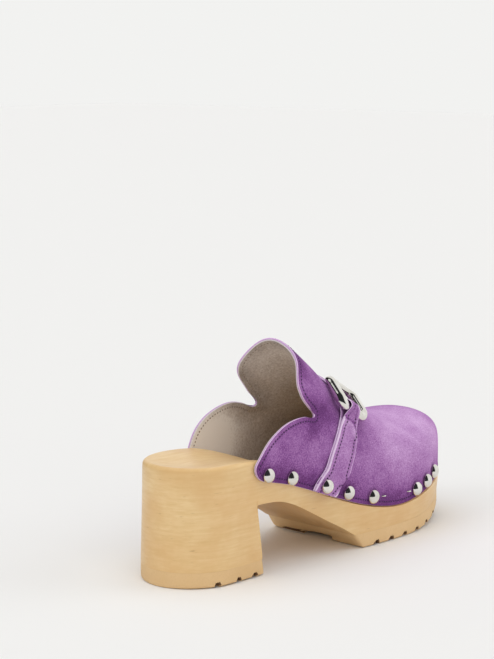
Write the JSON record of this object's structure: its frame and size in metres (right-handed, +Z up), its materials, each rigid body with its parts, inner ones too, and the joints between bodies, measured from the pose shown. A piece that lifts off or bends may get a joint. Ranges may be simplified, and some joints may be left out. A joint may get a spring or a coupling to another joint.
{
  "type": "clog mule shoe",
  "caption": "Open-back clog mule for the right foot: suede upper with a lobed collar and buckled instep strap, studded onto a wooden sole with a block heel.",
  "frame": {"origin": "middle of the bottom of the shoe's box, on the floor that it stands on", "axes": "+X from heel to toe, +Y to the inner side of the foot, +Z up"},
  "size_m": [0.2658, 0.0938, 0.1337],
  "materials": {
    "wood": "satin lacquer",
    "rubber": "matt",
    "suede": "brushed nap",
    "nickel": "polished"
  },
  "bodies": {
    "root": {"wood_sole": "wood", "heel_lift": "rubber", "forefoot_tread": "rubber", "upper": "suede", "strap_lateral": "suede", "strap_medial": "suede", "buckle_frame": "nickel", "stud_lateral_1": "nickel", "stud_lateral_2": "nickel", "stud_lateral_3": "nickel", "stud_lateral_4": "nickel", "stud_lateral_5": "nickel", "stud_lateral_6": "nickel", "stud_lateral_7": "nickel", "stud_lateral_8": "nickel", "stud_medial_1": "nickel", "stud_medial_2": "nickel", "stud_medial_3": "nickel", "stud_medial_4": "nickel", "stud_medial_5": "nickel", "stud_medial_6": "nickel", "stud_medial_7": "nickel", "stud_medial_8": "nickel"}
  },
  "joints": []
}
